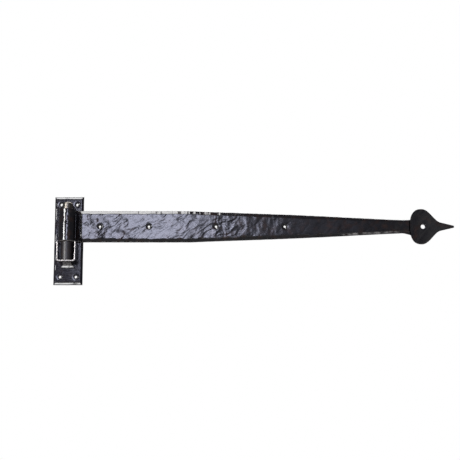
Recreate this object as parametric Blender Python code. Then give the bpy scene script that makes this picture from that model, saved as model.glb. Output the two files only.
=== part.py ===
"""Hand-forged hook-and-band strap hinge with a spade finial, closed and hung on its pin.

Metres, +Z up along the pin, +X along the closed band, +Y into the door frame.
The origin is the middle of the pintle plate's back face, which lies on the frame at y = 0.
"""
import math

import bmesh
import bpy
from mathutils import Vector

GAP = 0.0003                    # between two pieces that touch

PLATE_WIDTH = 0.045
PLATE_HEIGHT = 0.138
PLATE_THICKNESS = 0.006
PLATE_BEVEL_WIDTH = 0.003       # seen from the front
PLATE_BEVEL_DEPTH = 0.0024
PLATE_HOLE_RADIUS = 0.0021
PLATE_HOLE_MOUTH = 0.0034       # radius of the countersink at the front face
PLATE_HOLE_X = 0.0122           # from the plate's middle
PLATE_HOLE_Z = 0.0565

PIN_RADIUS = 0.00775            # 5/8 inch rod, bare
PIN_AXIS_Y = -0.0215
PIN_TOP = 0.0575
PIN_TIP_HEIGHT = 0.0035         # rounded top end
PIN_END_CHAMFER = 0.0008

SADDLE_WIDTH = 0.0295
SADDLE_WALL = 0.0026
SADDLE_TOP = -0.0043
SADDLE_BOTTOM = -0.0355
SADDLE_FRONT = -0.0308
SADDLE_CORNER_RADIUS = 0.0045   # outer radius of the two bends

SLEEVE_OUTER_RADIUS = 0.00925
SLEEVE_INNER_RADIUS = PIN_RADIUS + GAP

FOOT_BOTTOM = -0.0436
FOOT_REACH = 0.0160             # how far it stands out under the saddle
FOOT_LIP = 0.0008               # its depth where it ends on the plate
FOOT_NECK_WIDTH = 0.0140
FOOT_BASE_WIDTH = 0.0222

EYE_OUTER_RADIUS = 0.0141
EYE_END_ANGLE = 302.0           # degrees of roll, from the back of the eye round to its lip
EYE_LENGTH = 0.0500
EYE_STEPS = 38
EYE_EDGE = 0.0006               # chamfer on the bore's two rims

BAND_THICKNESS = 0.0060
BAND_WIDTH = 0.0490
BAND_BEVEL_WIDTH = 0.0036
BAND_BEVEL_DEPTH = 0.0024
BAND_START = 0.0135             # X at which the bevels begin, just clear of the lip
BAND_STATIONS = 6               # cross-sections along the taper
NECK_STATIONS = 4
NECK_BEVEL_KEEP = 0.3           # share of the bevel that doesn't shrink with the width
BAND_LEVEL = SADDLE_TOP + GAP + EYE_LENGTH / 2
TAPER_START = 0.1880
TAPER_END = 0.5150
NECK_WIDTH = 0.0206
NECK_THICKNESS = 0.0046
SHOULDER_WIDTH = 0.0230         # the band's upset end, where the finial is welded on
BAND_HOLE_X = (0.0488, 0.1243, 0.2279, 0.3340)
BAND_HOLE_RADIUS = 0.0021
BAND_HOLE_MOUTH = 0.0042

SPADE_LEFT = 0.5275
SPADE_WIDEST_X = 0.5457
SPADE_HALF_WIDTH = 0.0274
SPADE_WAIST_X = 0.5745
SPADE_TIP_X = 0.5955
SPADE_TIP_HALF_WIDTH = 0.0014
SPADE_POINT_SLOPE = 0.235       # half width lost per length along the point
SPADE_LOBE_POWER = 2.6          # squareness of the lobes beside the neck
SPADE_THICKNESS = 0.0040
SPADE_BEVEL = 0.0008
SPADE_HOLE_X = 0.5473
SPADE_HOLE_RADIUS = 0.0034      # a plain hole

ROUND_STEPS = 48
HOLE_STEPS = 32
BEND_STEPS = 6
FOOT_STEPS = 10
TIP_STEPS = 6
COUNTERSINK_SLOPE = 0.7         # radius gained per depth
DRILL_REACH = 0.02              # how far a drill passes the front face, both ways
SHARP_ANGLE = 25.0              # edges steeper than this, in degrees, are shaded sharp
MERGE_DISTANCE = 1e-7
LACQUER_COLOUR = (0.022, 0.021, 0.025, 1.0)
LACQUER_ROUGHNESS = 0.22
STEEL_COLOUR = (0.46, 0.42, 0.36, 1.0)
STEEL_ROUGHNESS = 0.38


def clear_scene():
    for obj in list(bpy.data.objects):
        bpy.data.objects.remove(obj, do_unlink=True)


def make_material(name, colour, metallic, roughness):
    material = bpy.data.materials.new(name)
    material.use_nodes = True
    shader = material.node_tree.nodes["Principled BSDF"]
    shader.inputs["Base Color"].default_value = colour
    shader.inputs["Metallic"].default_value = metallic
    shader.inputs["Roughness"].default_value = roughness
    return material


def add_object(name, bm, material, parent=None, origin=(0, 0, 0)):
    """Make an object of a mesh that was modelled around origin."""
    bmesh.ops.recalc_face_normals(bm, faces=bm.faces[:])
    mesh = bpy.data.meshes.new(name)
    bm.to_mesh(mesh)
    bm.free()
    mesh.shade_smooth()
    mesh.set_sharp_from_angle(angle=math.radians(SHARP_ANGLE))
    mesh.materials.append(material)
    obj = bpy.data.objects.new(name, mesh)
    obj.location = origin
    bpy.context.scene.collection.objects.link(obj)
    obj.parent = parent
    return obj


def add_empty(name, location, parent=None):
    empty = bpy.data.objects.new(name, None)
    empty.location = location
    bpy.context.scene.collection.objects.link(empty)
    empty.parent = parent
    return empty


def loft(rings, bm=None):
    """Join rings of equally many points into one closed body with flat ends."""
    bm = bm or bmesh.new()
    loops = [[bm.verts.new(point) for point in ring] for ring in rings]
    count = len(loops[0])
    for low, high in zip(loops, loops[1:]):
        for i in range(count):
            j = (i + 1) % count
            bm.faces.new((low[i], low[j], high[j], high[i]))
    bm.faces.new(loops[0])
    bm.faces.new(list(reversed(loops[-1])))
    return bm


def spin_profile(profile, closed):
    """Turn a profile of (radius, height) points about Z."""
    bm = bmesh.new()
    verts = [bm.verts.new((radius, 0, height)) for radius, height in profile]
    edges = [bm.edges.new(pair) for pair in zip(verts, verts[1:])]
    if closed:
        edges.append(bm.edges.new((verts[-1], verts[0])))
    bmesh.ops.spin(bm, geom=verts + edges, cent=(0, 0, 0), axis=(0, 0, 1),
                   angle=math.tau, steps=ROUND_STEPS, use_merge=True)
    bmesh.ops.remove_doubles(bm, verts=bm.verts[:], dist=MERGE_DISTANCE)
    return bm


def bore(target, holes):
    """Cut screw holes along Y; each is (x, z, radius, mouth radius, front y) in the target's frame."""
    bm = bmesh.new()
    for x, z, radius, mouth, front in holes:
        sink = (mouth - radius) / COUNTERSINK_SLOPE
        far_radius = mouth + DRILL_REACH * COUNTERSINK_SLOPE if sink else radius
        stations = [(front + DRILL_REACH, radius), (front + sink, radius),
                    (front - DRILL_REACH, far_radius)]
        rings = []
        for y, ring_radius in stations:
            rings.append([(x + ring_radius * math.cos(math.tau * i / HOLE_STEPS), y,
                           z + ring_radius * math.sin(math.tau * i / HOLE_STEPS))
                          for i in range(HOLE_STEPS)])
        loft(rings, bm)
    cutter = add_object(target.name + "_drill", bm, target.data.materials[0], target)
    cutter.hide_render = True
    cutter.display_type = "WIRE"
    cut = target.modifiers.new("screw_holes", "BOOLEAN")
    cut.operation = "DIFFERENCE"
    cut.solver = "EXACT"
    cut.object = cutter


def between(start, end, steps):
    """Even values from start to end."""
    return [start + (end - start) * i / steps for i in range(steps + 1)]


def arc(centre, radius, start, end, steps):
    """Points on an arc from start to end, in degrees."""
    angles = [math.radians(angle) for angle in between(start, end, steps)]
    return [(centre[0] + radius * math.cos(angle), centre[1] + radius * math.sin(angle))
            for angle in angles]


def build_plate(material):
    """The plate, with its four front edges bevelled."""
    def rectangle(inset, y):
        half_width = PLATE_WIDTH / 2 - inset
        half_height = PLATE_HEIGHT / 2 - inset
        return [(-half_width, y, -half_height), (half_width, y, -half_height),
                (half_width, y, half_height), (-half_width, y, half_height)]

    bm = loft([rectangle(0, 0),
               rectangle(0, PLATE_BEVEL_DEPTH - PLATE_THICKNESS),
               rectangle(PLATE_BEVEL_WIDTH, -PLATE_THICKNESS)])
    plate = add_object("pintle_plate", bm, material)
    bore(plate, [(side * PLATE_HOLE_X, end * PLATE_HOLE_Z, PLATE_HOLE_RADIUS, PLATE_HOLE_MOUTH,
                  -PLATE_THICKNESS) for side in (-1, 1) for end in (-1, 1)])


def build_saddle(material):
    """A strip bent to a U, edge on to the plate, with the pin standing in it."""
    half = SADDLE_WIDTH / 2
    outer = SADDLE_CORNER_RADIUS
    inner = outer - SADDLE_WALL
    bend_z = SADDLE_BOTTOM + outer
    outline = [(-half, SADDLE_TOP)]
    outline += arc((-half + outer, bend_z), outer, 180, 270, BEND_STEPS)
    outline += arc((half - outer, bend_z), outer, 270, 360, BEND_STEPS)
    outline += [(half, SADDLE_TOP), (half - SADDLE_WALL, SADDLE_TOP)]
    outline += arc((half - outer, bend_z), inner, 360, 270, BEND_STEPS)
    outline += arc((-half + outer, bend_z), inner, 270, 180, BEND_STEPS)
    outline += [(-half + SADDLE_WALL, SADDLE_TOP)]
    back = -PLATE_THICKNESS - GAP
    bm = loft([[(x, y, z) for x, z in outline] for y in (back, SADDLE_FRONT)])
    add_object("pin_saddle", bm, material)


def build_sleeve(material):
    """The collar round the pin's lower end, standing on the saddle's floor."""
    floor = SADDLE_BOTTOM + SADDLE_WALL + GAP
    profile = [(SLEEVE_INNER_RADIUS, floor), (SLEEVE_OUTER_RADIUS, floor),
               (SLEEVE_OUTER_RADIUS, SADDLE_TOP), (SLEEVE_INNER_RADIUS, SADDLE_TOP)]
    add_object("pin_sleeve", spin_profile(profile, True), material, origin=(0, PIN_AXIS_Y, 0))


def build_foot(material):
    """The gusset under the saddle, which sweeps back and flares out onto the plate."""
    top = SADDLE_BOTTOM - GAP
    back = -PLATE_THICKNESS - GAP
    rings = []
    for t in between(0, 1, FOOT_STEPS):
        z = top + (FOOT_BOTTOM - top) * t
        reach = FOOT_LIP + (FOOT_REACH - FOOT_LIP) * (1 - t) ** 2
        half = (FOOT_NECK_WIDTH + (FOOT_BASE_WIDTH - FOOT_NECK_WIDTH) * t ** 3) / 2
        rings.append([(-half, back, z), (half, back, z),
                      (half, back - reach, z), (-half, back - reach, z)])
    add_object("saddle_foot", loft(rings), material)


def build_pin(material, parent):
    """The round pin, its origin on its own axis."""
    foot = SADDLE_BOTTOM + SADDLE_WALL + GAP
    profile = [(0, foot), (PIN_RADIUS - PIN_END_CHAMFER, foot), (PIN_RADIUS, foot + PIN_END_CHAMFER)]
    tip_start = PIN_TOP - PIN_TIP_HEIGHT
    for angle in between(0, math.pi / 2, TIP_STEPS):
        profile.append((PIN_RADIUS * math.cos(angle), tip_start + PIN_TIP_HEIGHT * math.sin(angle)))
    add_object("pintle_pin", spin_profile(profile, False), material, parent)


def band_half_width(x):
    """Half the band's width at x: parallel, then a straight taper, then the upset end."""
    if x <= TAPER_START:
        return BAND_WIDTH / 2
    if x <= TAPER_END:
        t = (x - TAPER_START) / (TAPER_END - TAPER_START)
        return (BAND_WIDTH + (NECK_WIDTH - BAND_WIDTH) * t) / 2
    t = (x - TAPER_END) / (SPADE_LEFT - TAPER_END)
    return (NECK_WIDTH + (SHOULDER_WIDTH - NECK_WIDTH) * t ** 2) / 2


def band_thickness(x):
    """The band is drawn out thinner along its taper."""
    t = min(max((x - TAPER_START) / (TAPER_END - TAPER_START), 0), 1)
    return BAND_THICKNESS + (NECK_THICKNESS - BAND_THICKNESS) * t


def band_ring(back_point, inward, thickness, half_width, bevel_width, bevel_depth):
    """One cross-section: back edge, bevelled front edge, and the same above."""
    shoulder = back_point + inward * (thickness - bevel_depth)
    front = back_point + inward * thickness
    up = Vector((0, 0, half_width))
    up_front = Vector((0, 0, half_width - bevel_width))
    return [back_point - up, shoulder - up, front - up_front,
            front + up_front, shoulder + up, back_point + up]


def build_strap(material, parent):
    """The band and its rolled eye, one bar: it leaves the eye at the back and runs to the neck."""
    rings = []
    for i in range(EYE_STEPS, 0, -1):
        angle = math.radians(EYE_END_ANGLE) * i / EYE_STEPS
        outward = Vector((-math.sin(angle), math.cos(angle), 0))
        rings.append(band_ring(outward * EYE_OUTER_RADIUS, -outward, BAND_THICKNESS,
                               EYE_LENGTH / 2, EYE_EDGE, EYE_EDGE))
    forward = Vector((0, -1, 0))
    back = Vector((0, EYE_OUTER_RADIUS, 0))
    rings.append(band_ring(back, forward, BAND_THICKNESS, EYE_LENGTH / 2, EYE_EDGE, EYE_EDGE))
    stations = [BAND_START]
    stations += between(TAPER_START, TAPER_END, BAND_STATIONS)
    stations += between(TAPER_END, SPADE_LEFT - GAP, NECK_STATIONS)[1:]
    for x in stations:
        scale = min(1, band_half_width(x) / (BAND_WIDTH / 2) + NECK_BEVEL_KEEP)
        rings.append(band_ring(back + Vector((x, 0, 0)), forward, band_thickness(x),
                               band_half_width(x), BAND_BEVEL_WIDTH * scale,
                               BAND_BEVEL_DEPTH * scale))
    strap = add_object("strap", loft(rings), material, parent)
    bore(strap, [(x, 0, BAND_HOLE_RADIUS, BAND_HOLE_MOUTH, EYE_OUTER_RADIUS - band_thickness(x))
                 for x in BAND_HOLE_X])


def spade_half_width(x):
    """Half the finial's width at x: two round lobes that sweep in to a long point."""
    if x <= SPADE_WIDEST_X:
        u = (SPADE_WIDEST_X - x) / (SPADE_WIDEST_X - SPADE_LEFT)
        power = SPADE_LOBE_POWER
        return SPADE_HALF_WIDTH * max(1 - u ** power, 0) ** (1 / power)
    point = SPADE_TIP_HALF_WIDTH + SPADE_POINT_SLOPE * (SPADE_TIP_X - x)
    if x >= SPADE_WAIST_X:
        return point
    t = (x - SPADE_WIDEST_X) / (SPADE_WAIST_X - SPADE_WIDEST_X)
    return point + (SPADE_HALF_WIDTH - point) * math.cos(math.pi / 2 * t) ** 2


def spade_outline():
    """The finial's outline, from the neck side round to the point and back."""
    lobe = [SPADE_WIDEST_X - (SPADE_WIDEST_X - SPADE_LEFT) * math.cos(math.radians(angle))
            for angle in range(10, 90, 10)]
    sweep = between(SPADE_WIDEST_X, SPADE_WAIST_X, 14)
    point = between(SPADE_WAIST_X, SPADE_TIP_X, 4)[1:]
    upper = [(x, spade_half_width(x)) for x in lobe + sweep + point]
    return [(SPADE_LEFT, 0)] + upper + [(x, -z) for x, z in reversed(upper)]


def build_spade(material, parent):
    """The spade finial, a flat plate butted and welded to the band's end."""
    outline = spade_outline()
    centre = Vector((SPADE_WIDEST_X, 0, 0))
    back = EYE_OUTER_RADIUS
    front = back - SPADE_THICKNESS

    def ring(y, inset):
        points = []
        for i, (x, z) in enumerate(outline):
            before = outline[i - 1]
            after = outline[(i + 1) % len(outline)]
            along = Vector((after[0] - before[0], 0, after[1] - before[1])).normalized()
            inward = Vector((along.z, 0, -along.x))
            points.append(Vector((x, y, z)) + inward * inset)
        return points

    bm = loft([ring(back, 0), ring(front + SPADE_BEVEL, 0), ring(front, SPADE_BEVEL)])
    spade = add_object("spade_finial", bm, material, parent)
    bore(spade, [(SPADE_HOLE_X, 0, SPADE_HOLE_RADIUS, SPADE_HOLE_RADIUS, front)])


def main():
    clear_scene()
    lacquer = make_material("black_lacquer", LACQUER_COLOUR, 0.0, LACQUER_ROUGHNESS)
    steel = make_material("bare_steel", STEEL_COLOUR, 1.0, STEEL_ROUGHNESS)
    build_plate(lacquer)
    build_saddle(lacquer)
    build_sleeve(lacquer)
    build_foot(lacquer)
    swing_axis = add_empty("swing_axis", (0, PIN_AXIS_Y, 0))
    build_pin(steel, swing_axis)
    lift_axis = add_empty("lift_axis", (0, 0, BAND_LEVEL), swing_axis)
    build_strap(lacquer, lift_axis)
    build_spade(lacquer, lift_axis)
    bpy.context.view_layer.update()


main()
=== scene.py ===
"""Looks for a black hand-forged strap hinge: hammered, lacquered steel hung on a bare pin.

Metres: +Z up along the pin, +X along the closed strap, front at -Y.
"""
import math

import bmesh
import bpy
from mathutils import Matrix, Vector, kdtree, noise


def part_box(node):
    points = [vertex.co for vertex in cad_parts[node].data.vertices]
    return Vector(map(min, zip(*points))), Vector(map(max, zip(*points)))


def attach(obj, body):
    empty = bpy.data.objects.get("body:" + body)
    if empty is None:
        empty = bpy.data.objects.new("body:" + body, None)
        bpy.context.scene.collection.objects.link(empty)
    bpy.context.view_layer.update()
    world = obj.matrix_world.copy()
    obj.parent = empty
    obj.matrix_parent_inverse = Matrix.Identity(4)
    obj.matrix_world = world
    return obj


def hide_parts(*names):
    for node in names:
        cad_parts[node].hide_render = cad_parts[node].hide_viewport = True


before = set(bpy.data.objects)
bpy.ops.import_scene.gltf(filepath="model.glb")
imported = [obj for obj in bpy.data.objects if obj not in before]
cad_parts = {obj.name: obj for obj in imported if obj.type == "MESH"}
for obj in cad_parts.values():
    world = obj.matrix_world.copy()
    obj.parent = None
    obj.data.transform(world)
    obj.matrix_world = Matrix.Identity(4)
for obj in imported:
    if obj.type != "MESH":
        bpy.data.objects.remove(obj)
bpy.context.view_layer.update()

MM = 0.001

PLATE_LOW, PLATE_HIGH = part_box("pintle_plate")
PIN_LOW, PIN_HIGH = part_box("pintle_pin")
SADDLE_LOW, SADDLE_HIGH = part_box("pin_saddle")
SLEEVE_LOW, SLEEVE_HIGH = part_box("pin_sleeve")
FOOT_LOW, FOOT_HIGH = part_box("saddle_foot")
STRAP_LOW, STRAP_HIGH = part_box("strap")
SPADE_LOW, SPADE_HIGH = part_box("spade_finial")

AXIS = (PIN_LOW + PIN_HIGH) / 2
PIN_RADIUS = (PIN_HIGH.x - PIN_LOW.x) / 2
LEVEL = (STRAP_LOW.z + STRAP_HIGH.z) / 2          # the strap's middle line
BACK = STRAP_HIGH.y                               # the strap's back face

PLATE_BEVEL = Vector((2.9, 0, 4.2)) * MM          # at the sides, and at the top and bottom
PLATE_BEVEL_DEPTH = 3.15 * MM
PLATE_HOLE = Vector((12.2, 0, 56.5)) * MM
PLATE_HOLE_RADIUS = 2.1 * MM
PLATE_HOLE_MOUTH = 3.4 * MM
COUNTERSINK_SLOPE = 0.7

FOOT_SLOPE = 0.76                                 # of its flare, like the plate's lower bevel
FOOT_RIM = 0.8 * MM                               # how thick the flare ends
FOOT_NECK = 6.5 * MM                              # half its width under the saddle
FOOT_ROUND = 1.6 * MM
FOOT_PAINTED_SHEEN = 0.35                                 # painted sheen: bare steel on its upper half, standing in for light bounced onto it
SADDLE_WALL = 2.6 * MM
SADDLE_BEND = 4.5 * MM

EYE_RADIUS = AXIS.y - STRAP_LOW.y
EYE_TAPER = 0.9 * MM                              # the roll is this much slimmer at its top
EYE_LENGTH = STRAP_HIGH.z - STRAP_LOW.z
EYE_ROLL = math.radians(302)

BAND_THICKNESS = 6.0 * MM
BAND_WIDTH = 49.0 * MM
BAND_BEVEL = 5.3 * MM
UPPER_BEVEL_SLOPE = 0.60
LOWER_BEVEL_SLOPE = 0.53
UPPER_BEVEL_WANDER = 0.13                         # of its width
LOWER_BEVEL_WANDER = 0.36
TAPER_START = 188 * MM
TAPER_END = 515 * MM
NECK_WIDTH = 20.6 * MM
NECK_THICKNESS = 4.6 * MM
NECK_END = SPADE_LOW.x + 0.5 * MM                 # sunk a little into the spade
EYE_LIP = -(EYE_RADIUS - BAND_THICKNESS / 2) * EYE_ROLL     # where the roll ends, along the bar
EYE_LIP_ROUND = 1.3 * MM
JOINT_GROOVE = Vector((2.2, 3.4, 0)) * MM         # left at the weld between them
CREVICE_END = 21.5 * MM                           # the band thins towards the eye from here
CREVICE_SLOPE = 0.19
SWELL_START = 50 * MM                             # and swells a little on the way there
SWELL_SLOPE = 0.055
BAND_HOLES = [x * MM for x in (48.8, 124.3, 227.9, 334.0)]
BAND_HOLE_RADIUS = 1.85 * MM                      # lacquer narrows it
BAND_HOLE_MOUTH = 4.2 * MM

SPADE_WIDEST_X = 545.7 * MM
SPADE_WAIST_X = 574.5 * MM
SPADE_TIP_HALF_WIDTH = 1.4 * MM
SPADE_POINT_SLOPE = 0.235
SPADE_LOBE_POWER = 2.6
SPADE_THICKNESS = SPADE_HIGH.y - SPADE_LOW.y
SPADE_HALF_WIDTH = (SPADE_HIGH.z - SPADE_LOW.z) / 2
SPADE_HOLE_X = 547.3 * MM
SPADE_HOLE_RADIUS = 3.4 * MM

SHEEN_START, SHEEN_END = 415 * MM, 514 * MM       # painted sheen: bare patches along the band's lower edge, standing in for light it reflects from below
GRAIN_A, GRAIN_B = 0.82, 0.57                     # direction in which the hammer marks run


# ---- numbers ---------------------------------------------------------------------------------

def steps(start, end, spacing):
    """Even values from start to end, about spacing apart."""
    count = max(1, round((end - start) / spacing))
    return [start + (end - start) * i / count for i in range(count + 1)]


def spread(start, end, spacing, fine, places):
    """Values from start to end, spacing apart, or fine apart within reach of a (place, reach)."""
    values = [start]
    while values[-1] < end - fine:
        here = values[-1] + fine / 2
        close = any(abs(here - place) < reach for place, reach in places)
        values.append(min(values[-1] + (fine if close else spacing), end))
    values[-1] = end
    return values


def fractions(count, crowding=0.35):
    """Values from -1 to 1, closer together near both ends."""
    even = [-1 + 2 * i / count for i in range(count + 1)]
    return [(1 - crowding) * f + crowding * math.sin(math.pi / 2 * f) for f in even]


def ease(value, start, end):
    """0 before start, 1 after end, smooth between."""
    t = min(max((value - start) / (end - start), 0), 1)
    return t * t * (3 - 2 * t)


def corner(distance, radius):
    """How far a rounded corner has fallen back at this distance from the edge."""
    if distance >= radius:
        return 0.0
    run = radius - max(distance, 0)
    return radius - math.sqrt(max(radius * radius - run * run, 0))


def bevel(distance, width, depth, soft=0.3 * MM):
    """How far a flat bevel has fallen back at this distance from the edge; its crest is soft."""
    run = width - distance
    if run <= -soft:
        return 0.0
    if run < soft:
        return depth / width * (run + soft) ** 2 / (4 * soft)
    return depth / width * run


def countersink(gap, mouth):
    """Depth of a countersink, with a worn rim, at this distance from the hole's middle."""
    dish = 0.15 * MM * math.exp(-((gap - mouth) / (1.1 * MM)) ** 2)
    return COUNTERSINK_SLOPE * max(mouth - gap, 0) + dish


# ---- forged surface --------------------------------------------------------------------------

def waves(a, b, size, seed, octaves=2):
    """Smooth noise from about -1 to 1 with features about size across."""
    return noise.fractal(Vector((a / size, b / size, seed)), 1.0, 2.0, octaves)


def planished(a, b, size, seed):
    """Shallow facets left by a hammer face, 0 in their middles and 1 where they meet."""
    near = noise.voronoi(Vector((a / size, b / size, seed)))[0]
    return (1 - min((near[1] - near[0]) * 1.6, 1)) ** 2


def scale_pits(a, b, size, seed):
    """Small round pits where scale was hammered in: 1 at their middles, 0 between them."""
    cells = noise.voronoi(Vector((a / size, b / size, seed)))
    chosen = noise.cell(cells[1][0] * 7.3) > 0.55
    return math.exp(-(cells[0][0] * 4.2) ** 2) if chosen else 0.0


def forged(a, b, seed, roughness):
    """Depth below the sound surface of hand-forged steel at (a, b), in metres."""
    along = GRAIN_A * a + GRAIN_B * b
    across = GRAIN_A * b - GRAIN_B * a
    swerved = across + waves(a, b, 26 * MM, seed + 29) * 6 * MM
    patchy = 0.42 + 0.60 * ease(waves(a, b, 21 * MM, seed + 41), -0.35, 0.30)
    hollows = 0.50 * (1 + waves(a, b, 32 * MM, seed)) / 2
    hollows += 0.11 * planished(along / 1.6, across, 16 * MM, seed + 3)
    marks = 0.19 * (1 + waves(along / 3.0, swerved, 5.8 * MM, seed + 5))
    marks += 0.15 * abs(waves(along / 2.6, swerved, 8.5 * MM, seed + 7))
    marks += 0.07 * (1 - abs(waves(along / 1.8, swerved, 4.0 * MM, seed + 9)))
    marks += 0.030 * (1 + waves(a, b, 2.4 * MM, seed + 11))
    marks += 0.16 * scale_pits(a, b, 10 * MM, seed + 17)
    return (hollows + roughness * patchy * marks) * MM


# ---- meshes ----------------------------------------------------------------------------------

def cut_holes(points, holes):
    """The grid cells inside the (a, b, radius) holes; points round each move onto its circle."""
    removed = set()
    for a, b, radius in holes:
        inside = set()
        for i in range(len(points) - 1):
            if min(abs(points[i][0][0] - a), abs(points[i][0][1] - b)) > 2 * radius:
                continue                          # this row is clear of the hole
            for j in range(len(points[0]) - 1):
                middle_a = (points[i][j][0] + points[i + 1][j + 1][0]) / 2
                middle_b = (points[i][j][1] + points[i + 1][j + 1][1]) / 2
                if math.hypot(middle_a - a, middle_b - b) < radius:
                    inside.add((i, j))
        for i, j in {(i + di, j + dj) for i, j in inside for di in (0, 1) for dj in (0, 1)}:
            cells = {(i, j), (i - 1, j), (i, j - 1), (i - 1, j - 1)}
            if cells - inside:
                da, db = points[i][j][0] - a, points[i][j][1] - b
                scale = radius / math.hypot(da, db)
                points[i][j] = (a + da * scale, b + db * scale)
        removed |= inside
    return removed


def finish_mesh(name, bm, material, body, nodes=(), sharp=38, wear_and_sheen=None):
    """Turn a bmesh into a shown piece that rides on a body and stands for CAD nodes."""
    bmesh.ops.recalc_face_normals(bm, faces=bm.faces[:])
    mesh = bpy.data.meshes.new(name)
    bm.to_mesh(mesh)
    bm.free()
    mesh.shade_smooth()
    mesh.set_sharp_from_angle(angle=math.radians(sharp))
    mesh.materials.append(material)
    # this attribute holds real wear and painted sheen: bare-steel patches that stand in for
    # reflected light
    bare = mesh.attributes.new("wear_and_sheen", "FLOAT", "POINT")
    bare.data.foreach_set("value", [wear_and_sheen(v.co) if wear_and_sheen else 0.0 for v in mesh.vertices])
    piece = bpy.data.objects.new(name, mesh)
    bpy.context.scene.collection.objects.link(piece)
    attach(piece, body)
    if nodes:
        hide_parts(*nodes)


def sheet(points, place, holes=()):
    """A closed solid from a grid of (a, b) points; place(a, b, side) is its front or back there."""
    removed = cut_holes(points, holes)
    rows, columns = len(points) - 1, len(points[0]) - 1
    bm = bmesh.new()
    front = [[bm.verts.new(place(a, b, 1)) for a, b in row] for row in points]
    back = [[bm.verts.new(place(a, b, -1)) for a, b in row] for row in points]

    def kept(i, j):
        return 0 <= i < rows and 0 <= j < columns and (i, j) not in removed

    for i in range(rows):
        for j in range(columns):
            if not kept(i, j):
                continue
            ring = [(i, j), (i, j + 1), (i + 1, j + 1), (i + 1, j)]
            bm.faces.new([front[p][q] for p, q in ring])
            bm.faces.new([back[p][q] for p, q in reversed(ring)])
            beside = [(i - 1, j), (i, j + 1), (i + 1, j), (i, j - 1)]
            for k, cell in enumerate(beside):
                if not kept(*cell):
                    (p, q), (r, s) = ring[k], ring[(k + 1) % 4]
                    bm.faces.new((front[p][q], back[p][q], back[r][s], front[r][s]))
    bmesh.ops.delete(bm, geom=[v for v in bm.verts if not v.link_faces], context="VERTS")
    return bm


def tube(rings):
    """Join equal rings of points into one body, closed by a fan at each end."""
    bm = bmesh.new()
    loops = [[bm.verts.new(point) for point in ring] for ring in rings]
    count = len(loops[0])
    for low, high in zip(loops, loops[1:]):
        for i in range(count):
            j = (i + 1) % count
            bm.faces.new((low[i], low[j], high[j], high[i]))
    for loop in (loops[0], loops[-1]):
        middle = bm.verts.new(sum((v.co for v in loop), Vector()) / count)
        for i in range(count):
            bm.faces.new((loop[i], loop[(i + 1) % count], middle))
    return bm


def turned(profile, centre, radial, around=96, closed=False):
    """Turn (radius, height) points about the vertical through centre; radial adds unevenness."""
    bm = bmesh.new()
    loops = []
    for radius, height in profile:
        loop = []
        for k in range(around):
            angle = math.tau * k / around
            r = radius - radial(angle, height, radius)
            loop.append(bm.verts.new((centre.x + r * math.cos(angle),
                                      centre.y + r * math.sin(angle), height)))
        loops.append(loop)
    pairs = list(zip(loops, loops[1:]))
    if closed:
        pairs.append((loops[-1], loops[0]))
    for low, high in pairs:
        for k in range(around):
            m = (k + 1) % around
            bm.faces.new((low[k], low[m], high[m], high[k]))
    if not closed:
        bmesh.ops.contextual_create(bm, geom=loops[0])
        bmesh.ops.contextual_create(bm, geom=loops[-1])
    return bm


# ---- materials -------------------------------------------------------------------------------

# bare steel: where lacquer is worn off, and as painted sheen standing in for reflected light
BARE_STEEL_AND_SHEEN = (0.42, 0.40, 0.39, 1)
THIN_OXIDE = (0.30, 0.24, 0.17, 1)
LACQUER_IOR = 1.5


class Shader:
    """A material's node tree, with short calls to add nodes and join them."""

    def __init__(self, name):
        self.material = bpy.data.materials.new(name)
        self.material.use_nodes = True
        self.tree = self.material.node_tree
        self.principled = self.tree.nodes["Principled BSDF"]

    def node(self, kind, inputs=None, **settings):
        made = self.tree.nodes.new(kind)
        for key, value in settings.items():
            setattr(made, key, value)
        for key, value in (inputs or {}).items():
            self.put(value, made.inputs[key])
        return made

    def put(self, value, socket):
        if isinstance(value, bpy.types.NodeSocket):
            self.tree.links.new(value, socket)
        else:
            socket.default_value = value

    def texture(self, size, detail=3.0, stretch=(1, 1, 1), roughness=0.5):
        """Noise with features about size metres across, longer along an axis with a low stretch."""
        place = self.node("ShaderNodeTexCoord").outputs["Object"]
        mapped = self.node("ShaderNodeMapping", {"Vector": place, "Scale": stretch}).outputs[0]
        inputs = {"Vector": mapped, "Scale": 1 / size, "Detail": detail, "Roughness": roughness}
        return self.node("ShaderNodeTexNoise", inputs).outputs[0]

    def ramp(self, factor, low, high):
        """Spread the factor's values between low and high over 0 to 1."""
        return self.node("ShaderNodeMapRange", {"Value": factor, "From Min": low, "From Max": high},
                         clamp=True).outputs[0]

    def blend(self, factor, first, second):
        mix = self.node("ShaderNodeMix", data_type="RGBA")
        self.put(factor, mix.inputs[0])
        self.put(first, mix.inputs[6])
        self.put(second, mix.inputs[7])
        return mix.outputs[2]

    def mixed(self, factor, first, second):
        mix = self.node("ShaderNodeMix", data_type="FLOAT")
        self.put(factor, mix.inputs[0])
        self.put(first, mix.inputs[2])
        self.put(second, mix.inputs[3])
        return mix.outputs[0]

    def scaled(self, value, low, high):
        """Turn 0 to 1 into low to high."""
        return self.node("ShaderNodeMapRange",
                         {"Value": value, "To Min": low, "To Max": high}).outputs[0]

    def product(self, first, second):
        math_node = self.node("ShaderNodeMath", operation="MULTIPLY")
        self.put(first, math_node.inputs[0])
        self.put(second, math_node.inputs[1])
        return math_node.outputs[0]

    def bump(self, height, distance, normal=None):
        inputs = {"Height": height, "Distance": distance, "Strength": 1.0}
        if normal is not None:
            inputs["Normal"] = normal
        return self.node("ShaderNodeBump", inputs).outputs[0]


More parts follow.
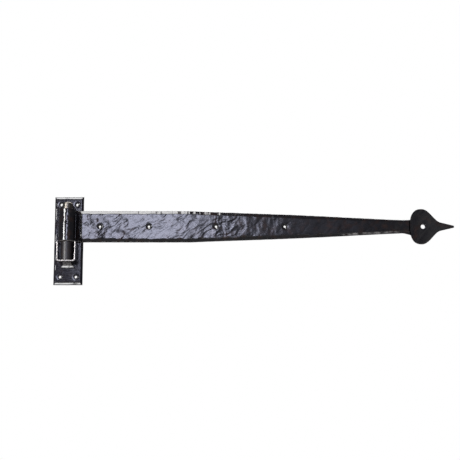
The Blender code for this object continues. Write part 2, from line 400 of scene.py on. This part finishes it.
def lacquer_material(name, black, brown, gloss, grain):
    """Black lacquer over forged steel: uneven gloss, brownish thin patches, bare steel where worn
    off, and bare steel as painted sheen where the attribute stands in for reflected light.
    """
    shader = Shader(name)
    patches = shader.ramp(shader.texture(9 * MM, 5), 0.50, 0.75)
    colour = shader.blend(patches, black, brown)
    # real wear and painted sheen: bare-steel patches that stand in for reflected light
    wear_and_sheen = shader.node("ShaderNodeAttribute", attribute_name="wear_and_sheen").outputs["Fac"]
    flecks = shader.ramp(shader.texture(2.2 * MM, 3), 0.30, 0.42)
    worn_and_sheen = shader.product(wear_and_sheen, flecks)
    shader.put(shader.blend(worn_and_sheen, colour, BARE_STEEL_AND_SHEEN), shader.principled.inputs["Base Color"])
    shader.put(shader.product(worn_and_sheen, 0.85), shader.principled.inputs["Metallic"])
    uneven = shader.scaled(shader.texture(5 * MM, 4), gloss - 0.06, gloss + 0.06)
    shader.put(shader.mixed(worn_and_sheen, uneven, 0.42), shader.principled.inputs["Roughness"])
    orange_peel = shader.bump(shader.texture(1.4 * MM, 3, roughness=0.6), grain)
    shader.put(shader.bump(shader.texture(0.35 * MM, 2), 0.012 * MM, orange_peel),
               shader.principled.inputs["Normal"])
    shader.principled.inputs["IOR"].default_value = LACQUER_IOR
    return shader.material


def steel_material(name, light, dark, roughness, streak):
    """Bare drawn steel with lengthwise streaks and thin oxide."""
    shader = Shader(name)
    streaks = shader.texture(0.9 * MM, 3, stretch=(1, 1, streak))
    stains = shader.texture(7 * MM, 3, stretch=(1, 1, 0.4))
    colour = shader.blend(shader.ramp(streaks, 0.35, 0.65), dark, light)
    colour = shader.blend(shader.ramp(stains, 0.55, 0.75), colour, THIN_OXIDE)
    shader.put(colour, shader.principled.inputs["Base Color"])
    shader.principled.inputs["Metallic"].default_value = 1.0
    shader.put(shader.scaled(streaks, roughness - 0.08, roughness + 0.12),
               shader.principled.inputs["Roughness"])
    shader.put(shader.bump(streaks, 0.03 * MM), shader.principled.inputs["Normal"])
    return shader.material


# ---- the plate and what is welded to it ------------------------------------------------------

def plate_point(x, z, side):
    """The plate's front or back at (x, z), with its wandering rims, bevels, marks and holes."""
    edge_x, edge_z = PLATE_HIGH.x - abs(x), PLATE_HIGH.z - abs(z)
    rim = min(edge_x, edge_z)
    wander = 0.18 * MM * (1 + waves(x, z, 22 * MM, 2.0)) * ease(rim, 3 * MM, 0)
    x -= math.copysign(wander * ease(edge_x, 3 * MM, 0), x)
    z -= math.copysign(wander * ease(edge_z, 3 * MM, 0), z)
    if side < 0:
        return Vector((x, PLATE_HIGH.y - corner(rim, 0.4 * MM), z))
    uneven = 1 + 0.16 * waves(x, z, 16 * MM, 5.0)
    drop = max(bevel(edge_x, PLATE_BEVEL.x * uneven, PLATE_BEVEL_DEPTH),
               bevel(edge_z, PLATE_BEVEL.z * uneven, PLATE_BEVEL_DEPTH))
    drop += corner(rim, 0.8 * MM) + forged(x, z, 20.0, 0.3) * 0.2 * ease(rim, 0, 5 * MM)
    gap = math.hypot(abs(x) - PLATE_HOLE.x, abs(z) - PLATE_HOLE.z)
    return Vector((x, PLATE_LOW.y + drop + countersink(gap, PLATE_HOLE_MOUTH), z))


def plate_lines(reach, hole):
    """Positions from one edge to the other, closer together at the rims and the holes."""
    close = [(-reach, 1.3 * MM), (-hole, 4.5 * MM), (hole, 4.5 * MM), (reach, 1.3 * MM)]
    return spread(-reach, reach, 0.9 * MM, 0.42 * MM, close)


def build_plate(material):
    across = plate_lines(PLATE_HIGH.x, PLATE_HOLE.x)
    up = plate_lines(PLATE_HIGH.z, PLATE_HOLE.z)
    holes = [(side_x * PLATE_HOLE.x, side_z * PLATE_HOLE.z, PLATE_HOLE_RADIUS)
             for side_x in (-1, 1) for side_z in (-1, 1)]
    bm = sheet([[(x, z) for x in across] for z in up], plate_point, holes)
    finish_mesh("plate_forging", bm, material, "plate", ["pintle_plate"])


def saddle_path(s):
    """Middle line of the U from its left end: (x, z) and the direction to its outside."""
    outer = SADDLE_BEND
    middle = outer - SADDLE_WALL / 2
    reach = SADDLE_HIGH.x - outer
    wall = SADDLE_HIGH.z - SADDLE_LOW.z - outer
    turn = middle * math.pi / 2
    low = SADDLE_LOW.z + outer
    if s < wall:
        return (-reach - middle, SADDLE_HIGH.z - s), (-1, 0)
    s -= wall
    if s < turn:
        angle = s / middle
        out = (-math.cos(angle), -math.sin(angle))
        return (-reach + middle * out[0], low + middle * out[1]), out
    s -= turn
    if s < 2 * reach:
        return (-reach + s, low - middle), (0, -1)
    s -= 2 * reach
    if s < turn:
        angle = s / middle
        out = (math.sin(angle), -math.cos(angle))
        return (reach + middle * out[0], low + middle * out[1]), out
    return (reach + middle, low + s - turn), (1, 0)


def build_saddle(material):
    outer = SADDLE_BEND
    wall = SADDLE_HIGH.z - SADDLE_LOW.z - outer
    length = 2 * wall + (outer - SADDLE_WALL / 2) * math.pi + 2 * (SADDLE_HIGH.x - outer)

    def place(s, y, side):
        (x, z), out = saddle_path(s)
        rim = y - SADDLE_LOW.y
        end = min(s, length - s)
        fall = corner(rim, 0.75 * MM) + corner(end, 0.7 * MM)
        fall += forged(s, y, 40.0 + side, 0.4) * 0.7
        reach = SADDLE_WALL / 2 - fall
        if side > 0:
            reach = -reach
        front = 0.25 * MM * (1 + waves(s, 0, 9 * MM, 41.0)) * ease(rim, 4 * MM, 0)
        return Vector((x + out[0] * reach, y + front, z + out[1] * reach))

    def front_rim(point):
        return 1 - ease(point.y - SADDLE_LOW.y, 0.7 * MM, 1.1 * MM)

    depth = spread(SADDLE_LOW.y, SADDLE_HIGH.y, 1.1 * MM, 0.3 * MM, [(SADDLE_LOW.y, 1.6 * MM)])
    points = [[(s, y) for y in depth] for s in steps(0, length, 0.8 * MM)]
    finish_mesh("saddle_strip", sheet(points, place), material, "plate",
                ["pin_saddle"], wear_and_sheen=front_rim)


def build_sleeve(material):
    outer = SLEEVE_HIGH.x
    inner = PIN_RADIUS + 0.3 * MM
    low, high = SLEEVE_LOW.z, SLEEVE_HIGH.z
    lip = 0.5 * MM
    profile = [(inner, high - lip), (inner, low + lip), (inner + lip, low), (outer - lip, low)]
    profile += [(outer, z) for z in steps(low + lip, high - lip, 1.0 * MM)]
    profile += [(outer - 0.3 * lip, high - 0.3 * lip), (outer - lip, high), (inner + lip, high)]

    def radial(angle, height, radius):
        if radius < inner + lip:
            return 0.0
        return forged(angle * outer, height, 50.0, 0.5) * 0.6

    bm = turned(profile, AXIS, radial, closed=True)
    finish_mesh("sleeve_collar", bm, material, "plate", ["pin_sleeve"])


def foot_section(t):
    """The gusset's outline at a height that falls as t goes from 0, the saddle, to 1, its foot."""
    reach = FOOT_HIGH.y - FOOT_LOW.y
    z = FOOT_HIGH.z + (FOOT_LOW.z - FOOT_HIGH.z) * t
    flare = FOOT_RIM + FOOT_SLOPE * (z - FOOT_LOW.z)
    out = flare + (reach - flare) * max(1 - t / 0.5, 0) ** 1.6
    half = FOOT_NECK + (FOOT_HIGH.x - FOOT_NECK) * ease(t, 0.25, 0.75)
    radius = min(FOOT_ROUND, out * 0.45)
    side, face = out - radius, half - radius

    def rounding(x, k):
        """A point of the front's corner, which takes four steps to turn through 90 degrees."""
        angle = math.pi / 2 * k / 4
        return x + radius * math.cos(angle), side + radius * math.sin(angle)

    outline = [(-half + 2 * half * k / 20, 0) for k in range(21)]
    outline += [(half, side * k / 4) for k in range(1, 5)]
    outline += [rounding(face, k) for k in range(1, 5)]
    outline += [(face - 2 * face * k / 20, out) for k in range(1, 20)]
    outline += [rounding(-face, k) for k in range(4, 9)]
    outline += [(-half, side * (1 - k / 4)) for k in range(1, 4)]
    return [Vector((x, FOOT_HIGH.y - away + forged(x, z, 60.0, 0.5) * min(away / (2 * MM), 1), z))
            for x, away in outline]


def build_foot(material):
    """The gusset: sweeps back from under the saddle and flares out onto the plate."""
    middle = (FOOT_LOW.z + FOOT_HIGH.z) / 2
    bm = tube([foot_section(i / 24) for i in range(25)])
    # its upper half is painted sheen: bare steel that stands in for light bounced onto the steep
    # part
    finish_mesh("foot_gusset", bm, material, "plate", ["saddle_foot"],
                wear_and_sheen=lambda point: FOOT_PAINTED_SHEEN * ease(point.z, middle, middle + 1 * MM))


def weld_bead(name, start, end, radius, material, seed):
    """A fillet weld: overlapping ripples along a line."""
    start, end = Vector(start), Vector(end)
    direction = (end - start).normalized()
    side = direction.orthogonal().normalized()
    other = direction.cross(side)
    length = (end - start).length
    rings = []
    for s in steps(0, length, 0.35 * MM):
        ripple = 0.88 + 0.12 * abs(math.sin(math.pi * s / (1.7 * MM)))
        taper = math.sqrt(max(1 - (2 * s / length - 1) ** 8, 0.02))
        ring = []
        for k in range(14):
            angle = math.tau * k / 14
            r = radius * ripple * taper * (1 + 0.18 * waves(s, angle * radius, 3 * MM, seed))
            ring.append(start + direction * s + side * math.cos(angle) * r
                        + other * math.sin(angle) * r)
        rings.append(ring)
    finish_mesh(name, tube(rings), material, "plate", sharp=60)


def build_welds(material):
    face = PLATE_LOW.y - 0.1 * MM
    side = SADDLE_HIGH.x + 0.1 * MM
    top, bottom = SADDLE_HIGH.z - 2 * MM, SADDLE_LOW.z + 5 * MM
    weld_bead("saddle_weld_left", (-side, face, bottom), (-side, face, top), 1.1 * MM, material, 71)
    weld_bead("saddle_weld_right", (side, face, bottom), (side, face, top), 1.1 * MM, material, 72)
    low = SLEEVE_LOW.z + 0.1 * MM
    for name, turn in (("sleeve_weld_left", -1), ("sleeve_weld_right", 1)):
        x = turn * (SLEEVE_HIGH.x + 0.4 * MM)
        weld_bead(name, (x, AXIS.y - 4 * MM, low), (x, AXIS.y + 4 * MM, low), 0.9 * MM, material,
                  73 + turn)


# ---- the pin ---------------------------------------------------------------------------------

def build_pin(material):
    chamfer = 0.8 * MM
    tip = 3.5 * MM
    profile = [(PIN_RADIUS - chamfer, PIN_LOW.z), (PIN_RADIUS, PIN_LOW.z + chamfer)]
    heights = steps(PIN_LOW.z + 2 * MM, PIN_HIGH.z - tip - 1 * MM, 1 * MM)
    profile += [(PIN_RADIUS, z) for z in heights]
    for k in range(10):
        angle = math.radians(9.2 * k)
        profile.append((PIN_RADIUS * math.cos(angle),
                        PIN_HIGH.z - tip + tip * math.sin(angle)))

    def radial(angle, height, radius):
        line = waves(angle * PIN_RADIUS, height / 18, 1.6 * MM, 80.0)
        dent = max(waves(angle * PIN_RADIUS, height, 7 * MM, 81.0), 0)
        return (0.02 * (1 + line) + 0.07 * dent) * MM * min(radius / PIN_RADIUS, 1)

    bm = turned(profile, AXIS, radial)
    finish_mesh("pin_bar", bm, material, "pin", ["pintle_pin"])


# ---- the strap -------------------------------------------------------------------------------

def band_half_width(x):
    if x <= TAPER_START:
        return EYE_LENGTH / 2 + (BAND_WIDTH - EYE_LENGTH) / 2 * ease(x, 4 * MM, 30 * MM)
    t = min((x - TAPER_START) / (TAPER_END - TAPER_START), 1)
    fullness = 0.9 * MM * math.sin(math.pi * t) ** 2
    return (BAND_WIDTH + (NECK_WIDTH - BAND_WIDTH) * t) / 2 + fullness


def band_thickness(x):
    return BAND_THICKNESS + (NECK_THICKNESS - BAND_THICKNESS) * min(
        max((x - TAPER_START) / (TAPER_END - TAPER_START), 0), 1)


def cross_marks(x):
    """1 along the stretch where hammer marks run across the bar, 0 away from it."""
    return ease(x, 205 * MM, 240 * MM) * (1 - ease(x, 320 * MM, 360 * MM))


def bend(s, depth, z):
    """Place a point of the bar: rolled round the pin for s < 0, and straight along X after."""
    if s >= 0:
        return Vector((s, BACK - depth, LEVEL + z))
    middle = EYE_RADIUS - BAND_THICKNESS / 2
    angle = -s / middle
    slim = EYE_TAPER * (0.5 + z / EYE_LENGTH) * ease(angle, 0, 1)
    radius = EYE_RADIUS - depth - slim
    return Vector((AXIS.x - radius * math.sin(angle), AXIS.y + radius * math.cos(angle), LEVEL + z))


def neck_end(z):
    """Where the upset end stops: it follows the spade's outline and is sunk a little into it."""
    share = min(abs(z) / SPADE_HALF_WIDTH, 1) ** SPADE_LOBE_POWER
    lobe = (1 - share) ** (1 / SPADE_LOBE_POWER)
    return SPADE_WIDEST_X - (SPADE_WIDEST_X - SPADE_LOW.x) * lobe + NECK_END - SPADE_LOW.x


def band_outline(s, z):
    """Where the point (s, z) of the bar lies: its edges wander, and its neck's end flares."""
    half = band_half_width(s)
    wander = 0.22 * MM * waves(s, math.copysign(1, z), 17 * MM, 101.0, 3)
    z += math.copysign(wander, z) * ease(half - abs(z), 5 * MM, 0) * ease(s, 8 * MM, 30 * MM)
    flare = (3.0 if z < 0 else 0.5) * MM * ease(s, TAPER_END - 2 * MM, NECK_END + 2 * MM) ** 1.5
    z *= 1 + flare / half
    return s + (neck_end(z) - NECK_END) * ease(s, TAPER_END, NECK_END), z


def smooth_part(s):
    """0 near the eye, 1 along the taper, where the bar was dressed smoother."""
    return ease(s, 215 * MM, 330 * MM)


def back_depth(s, z, edge):
    """Depth of the back face; it turns into the outside of the eye."""
    rolled = 1 - ease(s, 0, 10 * MM)
    depth = corner(edge, 0.9 * MM) + corner(s - EYE_LIP, EYE_LIP_ROUND)
    depth += forged(s, z, 110.0, 0.7 * (1 - 0.62 * smooth_part(s))) * (0.45 + 0.75 * rolled)
    return depth + 0.26 * MM * abs(waves(s * 1.4, z, 7 * MM, 115.0)) * rolled


def front_bevel(s, z, edge):
    """How far the front has fallen back at a long edge; the bevel narrows with the taper."""
    upper = z > 0
    wander = UPPER_BEVEL_WANDER if upper else LOWER_BEVEL_WANDER
    uneven = 1 + wander * waves(s, math.copysign(3, z), 11 * MM, 102.0, 4)
    narrow = min(band_half_width(s) / (BAND_WIDTH / 2) + 0.25, 1)
    width = BAND_BEVEL * uneven * narrow
    return bevel(edge, width, width * (UPPER_BEVEL_SLOPE if upper else LOWER_BEVEL_SLOPE))


def front_relief(s, z, edge):
    """Depth of the front's hammer marks, which fade to their mean depth on the bevels."""
    roughness = (1 + 0.5 * cross_marks(s)) * (1 - 0.72 * smooth_part(s))
    level = (0.30 + 0.18 * roughness) * MM
    relief = forged(s, z, 184.0, roughness) - level
    relief += 0.19 * MM * waves(s, z / 3, 8 * MM, 131.0, 3) * cross_marks(s)
    relief += 0.34 * MM * scale_pits(s, z, 6 * MM, 133.0) * (1 - ease(s, 35 * MM, 60 * MM))
    hold = 0.15 + (0.22 * ease(s, 90 * MM, 190 * MM) if z > 0 else 0)
    return level + relief * (hold + (1 - hold) * ease(edge, 3.8 * MM, 6.5 * MM))


def front_lie(s):
    """How far the front dips along the bar: into the crevice at the eye, and at the weld."""
    swell = max(SWELL_START - max(s, CREVICE_END), 0)
    dip = CREVICE_SLOPE * max(CREVICE_END - s, 0)
    dip -= SWELL_SLOPE * swell ** 2 / (2 * (SWELL_START - CREVICE_END))
    groove = JOINT_GROOVE.y * max(1 - (NECK_END - s) / JOINT_GROOVE.x, 0)
    return dip * ease(s, 8 * MM, 12 * MM) + groove


def front_depth(s, z, edge):
    """Depth of the front face, measured from the back; it turns into the inside of the eye."""
    straight = ease(s, 6 * MM, 24 * MM)
    drop = (front_bevel(s, z, edge) + front_relief(s, z, edge)) * straight
    drop += corner(edge, 0.8 * MM) + front_lie(s)
    for hole in BAND_HOLES:
        if abs(s - hole) < 8 * MM:
            drop += countersink(math.hypot(s - hole, z), BAND_HOLE_MOUTH)
    return band_thickness(s) - corner(s - EYE_LIP, EYE_LIP_ROUND) - drop


def strap_wear_and_sheen(point):
    """A bare ring at the eye's lower end, and painted sheen along the lower edge near the spade:
    bare patches that stand in for light the edge reflects from below.
    """
    off_end = point.z - LEVEL + EYE_LENGTH / 2
    ring = (1 - ease(off_end, 0.2 * MM, 0.5 * MM)) * (1 - ease(point.x, 13 * MM, 15 * MM))
    # painted sheen: bare-steel patches along the lower edge that stand in for reflected light
    off_edge = abs(point.z - LEVEL + band_half_width(point.x) - 2.2 * MM)
    painted_sheen = 1 - ease(off_edge, 0.8 * MM, 1.9 * MM)
    painted_sheen *= ease(point.x, SHEEN_START, SHEEN_START + 15 * MM)
    painted_sheen *= 1 - ease(point.x, SHEEN_END - 14 * MM, SHEEN_END)
    painted_sheen *= point.y < BACK - 2 * MM
    return max(ring, 0.9 * painted_sheen * max(waves(point.x, point.z * 2, 8 * MM, 105.0) + 0.25, 0))


def build_strap(material):
    def place(s, z, side):
        edge = band_half_width(s) - abs(z)
        x, z = band_outline(s, z)
        depth = front_depth(s, z, edge) if side > 0 else back_depth(s, z, edge)
        return bend(x, depth, z)

    fine, middle = 0.42 * MM, 250 * MM
    near_holes = [(x, 5.2 * MM) for x in BAND_HOLES]
    along = steps(EYE_LIP, 0, 1.0 * MM)[:-1]
    along += spread(0, middle, 0.8 * MM, fine, near_holes)[:-1]
    along += spread(middle, TAPER_END, 1.15 * MM, fine, near_holes)[:-1]
    along += steps(TAPER_END, NECK_END, 0.5 * MM)
    close = [(-1, 0.05), (-0.79, 0.07), (0, 0.22), (0.79, 0.07), (1, 0.05)]
    across = spread(-1, 1, 0.034, 0.016, close)   # shares of the half width
    points = [[(s, f * band_half_width(s)) for f in across] for s in along]
    holes = [(x, 0, BAND_HOLE_RADIUS) for x in BAND_HOLES]
    finish_mesh("strap_forging", sheet(points, place, holes), material, "band",
                ["strap"], wear_and_sheen=strap_wear_and_sheen)


# ---- the spade -------------------------------------------------------------------------------

def spade_half_width(x):
    """Two round lobes that sweep in to a long point."""
    if x <= SPADE_WIDEST_X:
        u = (SPADE_WIDEST_X - x) / (SPADE_WIDEST_X - SPADE_LOW.x)
        power = SPADE_LOBE_POWER
        return SPADE_HALF_WIDTH * max(1 - u ** power, 0) ** (1 / power)
    point = SPADE_TIP_HALF_WIDTH + SPADE_POINT_SLOPE * (SPADE_HIGH.x - x)
    if x >= SPADE_WAIST_X:
        return point
    t = (x - SPADE_WIDEST_X) / (SPADE_WAIST_X - SPADE_WIDEST_X)
    return point + (SPADE_HALF_WIDTH - point) * math.cos(math.pi / 2 * t) ** 2


def spade_outline(first):
    """Points along the spade's edge, found by how near they are; first is its leftmost column."""
    edge = [(x, turn * spade_half_width(x)) for x in steps(SPADE_LOW.x, SPADE_HIGH.x, 0.2 * MM)
            for turn in (-1, 1)]
    edge += [(first, spade_half_width(first) * k / 8) for k in range(-8, 9)]
    tree = kdtree.KDTree(len(edge))
    for index, (x, z) in enumerate(edge):
        tree.insert((x, 0, z), index)
    tree.balance()
    return tree


def build_spade(material):
    reach = SPADE_WIDEST_X - SPADE_LOW.x
    along = [SPADE_WIDEST_X - reach * math.cos(math.radians(a)) for a in range(3, 90, 3)]
    outline = spade_outline(along[0])
    along += steps(SPADE_WIDEST_X, SPADE_HIGH.x - 0.2 * MM, 0.9 * MM)

    def place(x, z, side):
        edge = outline.find((x, 0, z))[2]
        if side < 0:
            return Vector((x, BACK - corner(edge, 0.6 * MM), LEVEL + z))
        joint = 1 - ease(x, SPADE_LOW.x + 3 * MM, SPADE_LOW.x + 8 * MM)
        depth = SPADE_THICKNESS - corner(edge, 0.8 * MM) * (1 - joint)
        depth -= forged(x, z, 140.0, 0.3) * 0.8
        depth -= corner(math.hypot(x - SPADE_HOLE_X, z) - SPADE_HOLE_RADIUS, 0.7 * MM)
        depth -= 0.9 * MM * ease(x, SPADE_WAIST_X, SPADE_HIGH.x)
        return Vector((x, BACK - depth, LEVEL + z))

    points = [[(x, f * spade_half_width(x)) for f in fractions(54)] for x in along]
    bm = sheet(points, place, [(SPADE_HOLE_X, 0, SPADE_HOLE_RADIUS)])
    finish_mesh("spade_forging", bm, material, "band", ["spade_finial"])


# ---- studio ----------------------------------------------------------------------------------

VIEW_CENTRE = Vector((249.5, -13.4, 15.2)) * MM
VIEW_WIDTH = 708.4 * MM
VIEW_DISTANCE = 1.70
VIEW_ELEVATION = math.radians(-9)
FLOOR_HEIGHT = -1.85
FLOOR_WHITE = 0.97
STUDIO_GREY = (0.11, 0.11, 0.12, 1)

FRONT_Y = -1.70
FRONT_COLOUR = (0.88, 0.91, 1.16)
FRONT_COLUMNS = ((-0.17, 0.14, 1.0), (0.14, 0.26, 0.40),        # left, right, share
                 (0.26, 0.42, 0.075), (0.42, 0.66, 0.035))
FRONT_ROWS = ((-0.10, 0.14, 2.6), (0.14, 0.23, 6.5), (0.23, 0.40, 11.8),    # low, high, radiance
              (0.40, 0.49, 6.5), (0.49, 0.72, 2.6))
STRAP_ROOT = (0.0, BACK, LEVEL)
SOFTBOXES = (                                     # name, place, target, width, height, radiance
    ("far_fill", (1.0, -1.70, 0.33), (1.0, 0.0, 0.33), 0.32, 0.6, 0.40),
    ("left_softbox", (-1.15, -1.65, 0.33), STRAP_ROOT, 0.42, 0.9, 32.0),
    ("top_softbox", (-0.24, -0.30, 1.25), (-0.24, -0.28, 0), 0.80, 0.6, 13.0),
    ("low_softbox", (-0.13, -0.25, -0.66), (-0.13, -0.249, 0.0), 0.13, 0.22, 16.0),
    ("left_low_fill", (-1.9, -1.75, -0.85), STRAP_ROOT, 1.5, 0.5, 1.6),
    ("middle_low_fill", (0.3, -1.75, -0.85), STRAP_ROOT, 1.5, 0.5, 1.6),
    ("right_low_fill", (2.4, -1.75, -0.85), STRAP_ROOT, 1.5, 0.5, 1.6),
    ("back_softbox", (0.3, 1.5, 1.1), (0.2, 0.0, 0.0), 1.4, 0.6, 5.0),
    ("back_fill", (0.3, 2.3, -1.1), (0.3, 0.0, 0.0), 6.0, 0.9, 1.6))


def aim(obj, target):
    obj.rotation_euler = (Vector(target) - obj.location).to_track_quat("-Z", "Y").to_euler()


def build_camera():
    data = bpy.data.cameras.new("camera")
    camera = bpy.data.objects.new("camera", data)
    bpy.context.scene.collection.objects.link(camera)
    back = Vector((0, -math.cos(VIEW_ELEVATION), math.sin(VIEW_ELEVATION)))
    camera.location = VIEW_CENTRE + back * VIEW_DISTANCE
    aim(camera, VIEW_CENTRE)
    data.sensor_width = 36
    data.lens = data.sensor_width * VIEW_DISTANCE / VIEW_WIDTH
    bpy.context.scene.camera = camera


def soft_light(name, location, target, width, height, radiance, colour=(1, 1, 1)):
    """A softbox of an even brightness, seen only in what it lights."""
    data = bpy.data.lights.new(name, "AREA")
    data.shape = "RECTANGLE"
    data.size = width
    data.size_y = height
    data.energy = radiance * math.pi * width * height
    data.color = colour
    light = bpy.data.objects.new(name, data)
    light.location = location
    bpy.context.scene.collection.objects.link(light)
    aim(light, target)
    light.visible_camera = False


def build_lights():
    """A front light that fades to the right and up and down, and softboxes on the other sides."""
    for i, (left, right, share) in enumerate(FRONT_COLUMNS):
        for j, (low, high, radiance) in enumerate(FRONT_ROWS):
            x, z = (left + right) / 2, (low + high) / 2
            soft_light(f"front_light_{i}_{j}", (x, FRONT_Y, z), (x, 0.0, z),
                       right - left, high - low, radiance * share, FRONT_COLOUR)
    for softbox in SOFTBOXES:
        soft_light(*softbox)


def white_to_camera(tree, shader, brightness, surface):
    """Show an even white to the camera, and the given shader to every other ray."""
    white = tree.nodes.new("ShaderNodeEmission")
    white.inputs["Strength"].default_value = brightness
    path = tree.nodes.new("ShaderNodeLightPath")
    mix = tree.nodes.new("ShaderNodeMixShader")
    tree.links.new(path.outputs["Is Camera Ray"], mix.inputs[0])
    tree.links.new(shader, mix.inputs[1])
    tree.links.new(white.outputs[0], mix.inputs[2])
    tree.links.new(mix.outputs[0], surface)


def build_world():
    """A dim grey studio round the object, with a white backdrop."""
    world = bpy.data.worlds.new("studio")
    bpy.context.scene.world = world
    world.use_nodes = True
    tree = world.node_tree
    dim = tree.nodes["Background"]
    dim.inputs["Color"].default_value = STUDIO_GREY
    white_to_camera(tree, dim.outputs[0], 1.0, tree.nodes["World Output"].inputs["Surface"])
    bpy.context.scene.view_settings.view_transform = "Standard"


def build_floor():
    """A pale floor well below the object, so that low views aren't cut off by it."""
    bpy.ops.mesh.primitive_plane_add(size=60, location=(0.25, 0, FLOOR_HEIGHT))
    floor = bpy.context.object
    floor.name = "floor"
    shader = Shader("pale_floor")
    shader.principled.inputs["Base Color"].default_value = (0.62, 0.62, 0.61, 1)
    shader.principled.inputs["Roughness"].default_value = 0.8
    surface = shader.tree.nodes["Material Output"].inputs["Surface"]
    white_to_camera(shader.tree, shader.principled.outputs[0], FLOOR_WHITE, surface)
    floor.data.materials.append(shader.material)


def main():
    plate_black = lacquer_material(
        "plate_lacquer", black=(0.0090, 0.0085, 0.0120, 1), brown=(0.016, 0.012, 0.013, 1),
        gloss=0.13, grain=0.012 * MM)
    strap_black = lacquer_material(
        "strap_lacquer", black=(0.0064, 0.0060, 0.0074, 1), brown=(0.019, 0.010, 0.008, 1),
        gloss=0.12, grain=0.03 * MM)
    collar_black = lacquer_material(
        "collar_lacquer", black=(0.016, 0.014, 0.015, 1), brown=(0.024, 0.016, 0.013, 1),
        gloss=0.42, grain=0.03 * MM)
    steel = steel_material(
        "pin_steel", light=(0.19, 0.175, 0.155, 1), dark=(0.09, 0.078, 0.065, 1),
        roughness=0.36, streak=0.05)
    build_plate(plate_black)
    build_saddle(plate_black)
    build_sleeve(collar_black)
    build_foot(plate_black)
    build_welds(plate_black)
    build_pin(steel)
    build_strap(strap_black)
    build_spade(strap_black)
    build_camera()
    build_lights()
    build_world()
    build_floor()


main()
